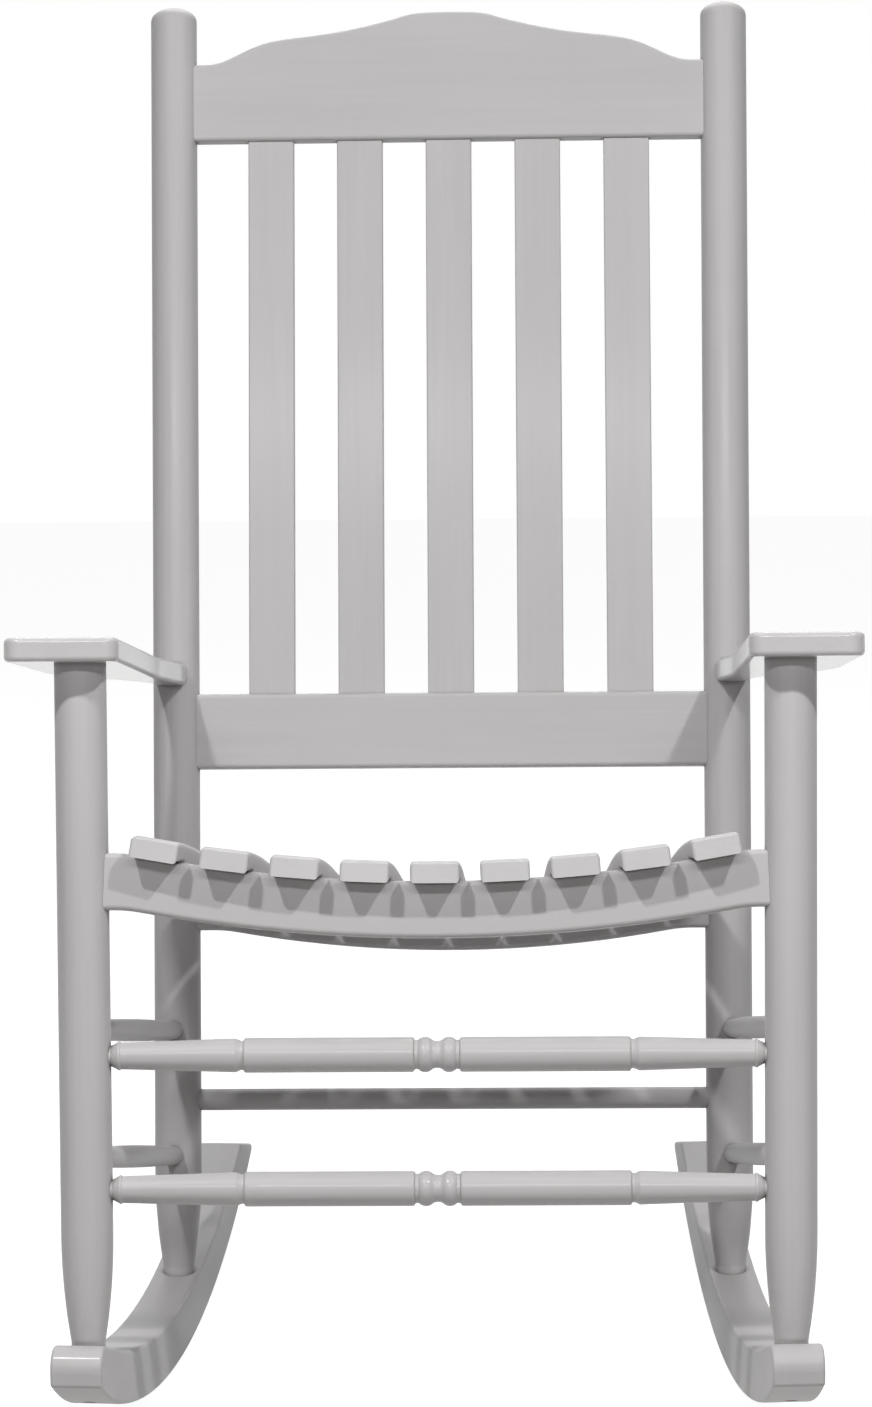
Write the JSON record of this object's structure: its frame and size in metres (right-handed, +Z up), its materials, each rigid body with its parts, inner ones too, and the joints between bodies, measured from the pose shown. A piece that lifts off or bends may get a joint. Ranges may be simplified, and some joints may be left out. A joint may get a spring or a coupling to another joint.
{
  "type": "rocking chair",
  "caption": "Slatted porch rocking chair with turned posts, flat armrests, a curved crest rail, contoured seat slats, turned front stretchers and long curved rockers.",
  "frame": {"origin": "on the floor, under the middle of the chair's bounding box", "axes": "-Y is the front where the sitter's legs go, +X is across the chair, +Z is up"},
  "size_m": [0.6764, 0.8268, 1.1609],
  "materials": {
    "paint": "satin light warm grey paint on hardwood",
    "steel": "plain countersunk steel"
  },
  "bodies": {
    "root": {"rocker_left": "paint", "front_post_left": "paint", "rear_post_left": "paint", "armrest_left": "paint", "side_stretcher_upper_left": "paint", "side_stretcher_lower_left": "paint", "rocker_right": "paint", "front_post_right": "paint", "rear_post_right": "paint", "armrest_right": "paint", "side_stretcher_upper_right": "paint", "side_stretcher_lower_right": "paint", "crest_rail": "paint", "lower_back_rail": "paint", "back_slat_1": "paint", "back_slat_2": "paint", "back_slat_3": "paint", "back_slat_4": "paint", "back_slat_5": "paint", "seat_front_rail": "paint", "seat_rear_rail": "paint", "seat_slat_1": "paint", "seat_slat_2": "paint", "seat_slat_3": "paint", "seat_slat_4": "paint", "seat_slat_5": "paint", "seat_slat_6": "paint", "seat_slat_7": "paint", "seat_slat_8": "paint", "seat_slat_9": "paint", "front_stretcher_upper": "paint", "front_stretcher_lower": "paint", "rear_stretcher": "paint", "rocker_screws": "steel", "armrest_screws": "steel", "seat_slat_screws": "steel"}
  },
  "joints": []
}
